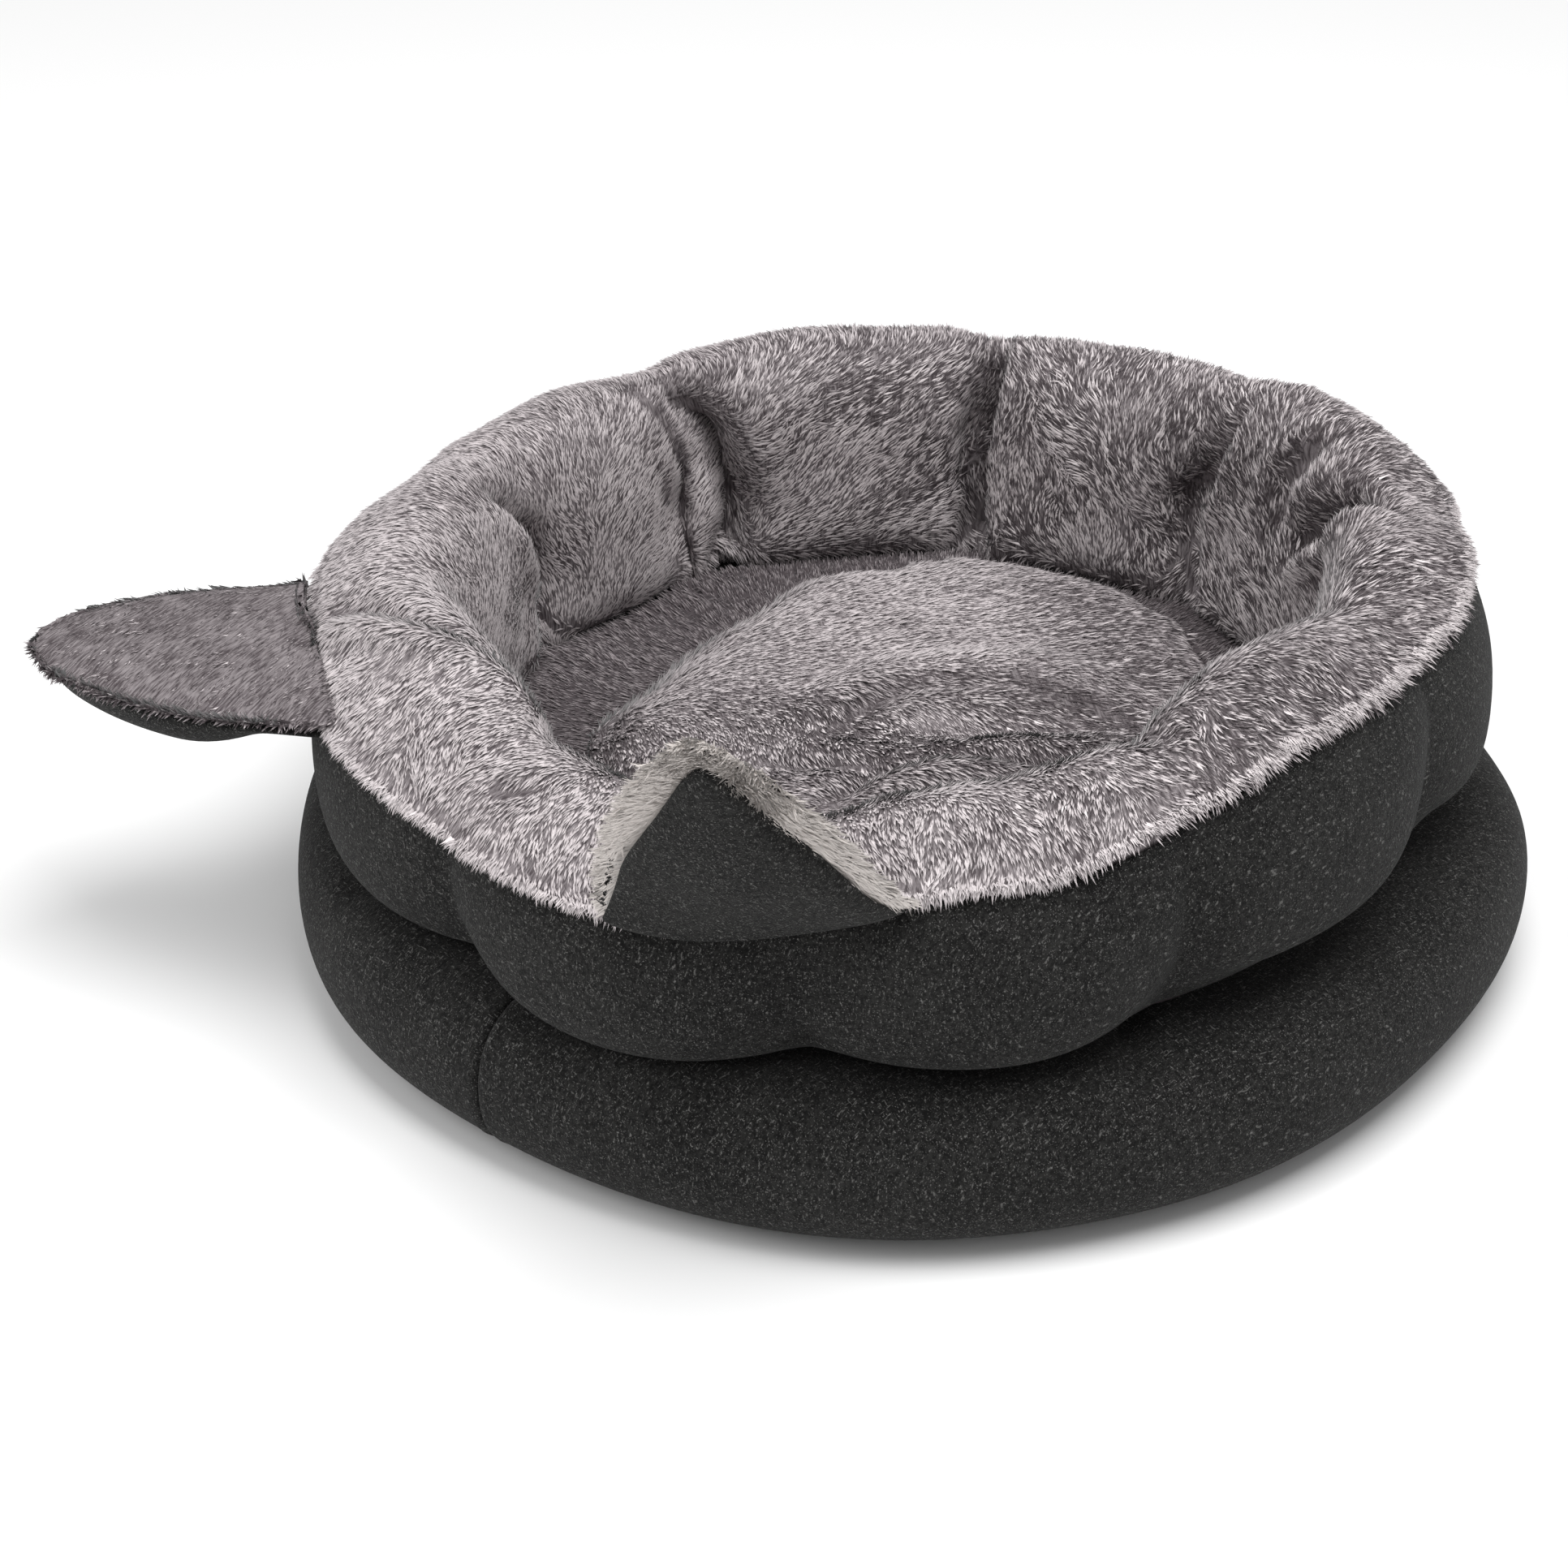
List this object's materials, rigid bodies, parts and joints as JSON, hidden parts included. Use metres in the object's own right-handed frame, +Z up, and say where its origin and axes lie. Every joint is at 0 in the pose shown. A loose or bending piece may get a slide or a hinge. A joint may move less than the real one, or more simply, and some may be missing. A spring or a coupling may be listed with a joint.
{
  "type": "fabric pet bed",
  "caption": "Round padded fabric pet bed: a thick felt pad carries a soft plush ring of sewn pockets around a loose cushion, with padded ears at the rim.",
  "frame": {"origin": "middle of the flat underside, at the level of the floor that the bed stands on", "axes": "+Z up, -Y toward the lowest stretch of the rim, which lies between the two ears"},
  "size_m": [0.4953, 0.5433, 0.2432],
  "materials": {
    "felt": "matte dark grey felt with light flecks",
    "plush": "warm grey long-pile plush"
  },
  "bodies": {
    "root": {"base_pad": "felt", "floor_plush": "plush", "bolster_plush": "plush", "bolster_felt": "felt", "cushion": "plush", "ear_left_plush": "plush", "ear_left_felt": "felt", "ear_front_plush": "plush", "ear_front_felt": "felt"}
  },
  "joints": []
}
